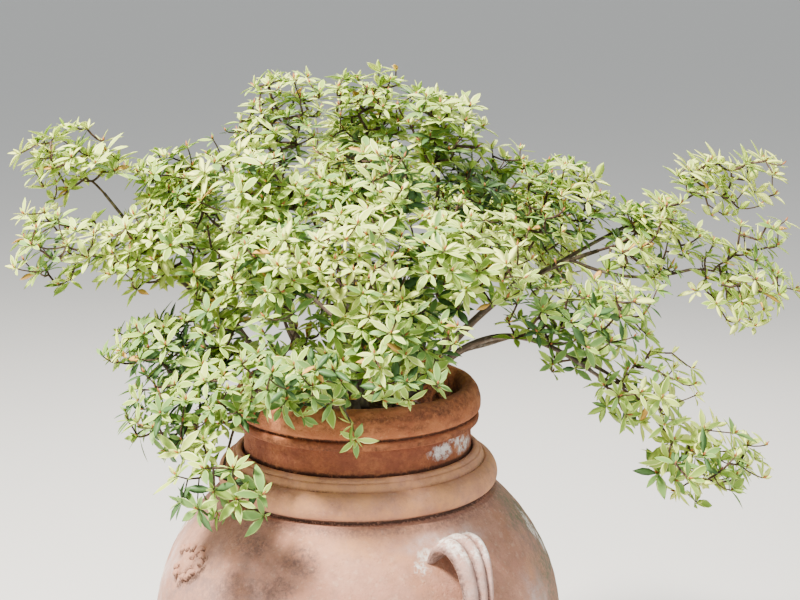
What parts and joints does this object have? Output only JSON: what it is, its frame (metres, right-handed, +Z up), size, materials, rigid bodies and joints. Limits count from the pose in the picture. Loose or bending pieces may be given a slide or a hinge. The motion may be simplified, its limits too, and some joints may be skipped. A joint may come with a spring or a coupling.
{
  "type": "potted azalea",
  "caption": "Open, wide-armed azalea shrub with pale variegated leaves, growing from a terracotta pot set in the mouth of a tall bellied terracotta jar with strap handles.",
  "frame": {"origin": "centre of the jar's flat underside", "axes": "+Z up through the jar's middle; -Y is the front seen in the picture; +X is the right as seen from the front"},
  "size_m": [1.5701, 0.9667, 1.6796],
  "materials": {
    "jar_terracotta": "weathered matt unglazed terracotta, pinkish tan with dark and limey patches",
    "pot_terracotta": "rough matt unglazed terracotta, orange brown",
    "soil": "dry dark potting soil",
    "bark": "rough grey-brown bark",
    "foliage": "soft pale yellow-green leaves with cream edges"
  },
  "bodies": {
    "root": {"bough_back_left": "bark", "bough_back_low": "bark", "bough_back_right": "bark", "bough_centre": "bark", "bough_centre_left": "bark", "bough_centre_right": "bark", "bough_far_left_lower": "bark", "bough_far_left_upper": "bark", "bough_front_left": "bark", "bough_front_right": "bark", "bough_left_droop": "bark", "bough_left_low": "bark", "bough_left_upper": "bark", "bough_right_inner": "bark", "bough_right_low_tip": "bark", "bough_right_lower": "bark", "bough_right_outer": "bark", "bough_right_upper": "bark", "bough_upper_right": "bark", "handle_left": "jar_terracotta", "handle_right": "jar_terracotta", "inner_pot": "pot_terracotta", "leaves_back_left": "foliage", "leaves_back_low": "foliage", "leaves_back_middle": "foliage", "leaves_back_right": "foliage", "leaves_centre": "foliage", "leaves_centre_left": "foliage", "leaves_centre_right": "foliage", "leaves_far_left_lower": "foliage", "leaves_far_left_upper": "foliage", "leaves_front_left": "foliage", "leaves_front_right": "foliage", "leaves_left_droop": "foliage", "leaves_left_hanging": "foliage", "leaves_left_low": "foliage", "leaves_left_middle": "foliage", "leaves_left_upper": "foliage", "leaves_right_droop": "foliage", "leaves_right_inner": "foliage", "leaves_right_low_tip": "foliage", "leaves_right_lower": "foliage", "leaves_right_outer": "foliage", "leaves_right_upper": "foliage", "leaves_right_wing": "foliage", "leaves_top_left": "foliage", "leaves_top_middle": "foliage", "leaves_top_right": "foliage", "leaves_upper_centre": "foliage", "leaves_upper_left": "foliage", "leaves_upper_right": "foliage", "soil": "soil", "stem_back": "bark", "stem_left": "bark", "stem_right": "bark", "stem_right_low": "bark", "stem_top": "bark", "stem_top_right": "bark", "stem_upper_left": "bark", "urn": "jar_terracotta"}
  },
  "joints": []
}
